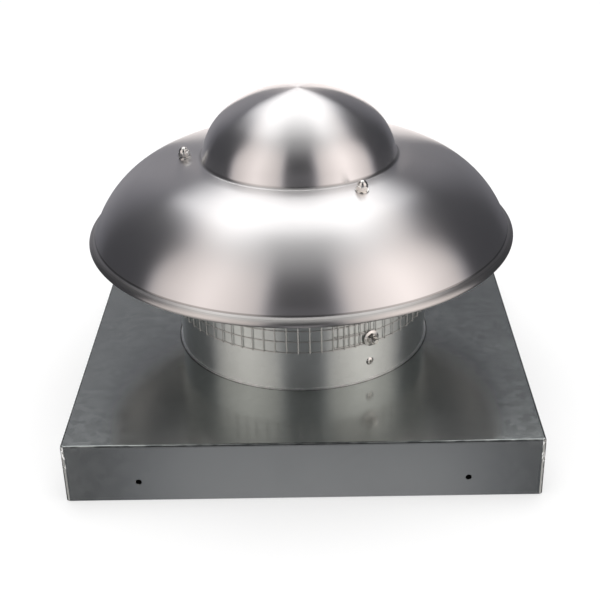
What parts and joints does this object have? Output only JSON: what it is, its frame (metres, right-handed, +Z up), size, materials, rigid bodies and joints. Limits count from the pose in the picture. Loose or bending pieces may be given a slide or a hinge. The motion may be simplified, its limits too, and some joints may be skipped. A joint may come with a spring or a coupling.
{
  "type": "axial roof exhaust fan",
  "caption": "Axial roof exhaust fan: square curb cap, round neck with a wire bird screen, spun two-level hood on legs, and a motor with a propeller under it.",
  "frame": {"origin": "middle of the square bottom edge of the curb cap", "axes": "+Z up along the propeller's axis, -Y towards the front flange of the picture, +X to its right"},
  "size_m": [0.483, 0.483, 0.3536],
  "materials": {
    "galvanised": "spangled, semi-gloss",
    "spun_aluminium": "spun, bright",
    "blade_aluminium": "mill",
    "wire": "galvanised",
    "fastener_steel": "zinc plated",
    "turned_steel": "turned",
    "motor_paint": "semi-gloss",
    "lamination": "matt",
    "copper": "enamelled",
    "bronze": "sintered",
    "rubber": "matt"
  },
  "bodies": {
    "housing": {"curb_cap": "galvanised", "neck": "galvanised", "bird_screen": "wire", "hood": "spun_aluminium", "leg_right": "galvanised", "leg_rear": "galvanised", "leg_left": "galvanised", "neck_bolts": "fastener_steel", "neck_washers": "fastener_steel", "neck_nuts": "fastener_steel", "leg_rivets": "fastener_steel", "hood_studs": "fastener_steel", "hood_seals": "rubber", "hood_washers": "fastener_steel", "acorn_nuts": "fastener_steel", "motor_mount": "galvanised", "motor_grommets": "rubber", "motor_shell": "motor_paint", "motor_lower_bell": "motor_paint", "motor_upper_bell": "motor_paint", "stator_core": "lamination", "stator_windings": "copper", "lower_bearing": "bronze", "upper_bearing": "bronze", "motor_through_bolts": "fastener_steel", "motor_nuts": "fastener_steel", "terminal_box": "galvanised", "terminal_box_lid": "galvanised", "box_screws": "fastener_steel", "motor_lead": "rubber", "shell_bushing": "rubber", "box_bushing": "rubber", "inlet_bushing": "rubber"},
    "rotor": {"rotor_core": "lamination", "motor_shaft": "turned_steel", "thrust_collars": "turned_steel", "propeller_spider": "galvanised", "propeller_blade_1": "blade_aluminium", "propeller_blade_2": "blade_aluminium", "propeller_blade_3": "blade_aluminium", "propeller_blade_4": "blade_aluminium", "blade_rivets": "blade_aluminium", "propeller_hub": "turned_steel", "set_screw": "fastener_steel", "hub_rivets": "fastener_steel"}
  },
  "joints": [
    {"name": "rotor_spin", "type": "hinge", "parent": "housing", "child": "rotor", "pos_m": [0, 0, 0.0925], "axis": [0, 0, 1], "continuous": true}
  ]
}
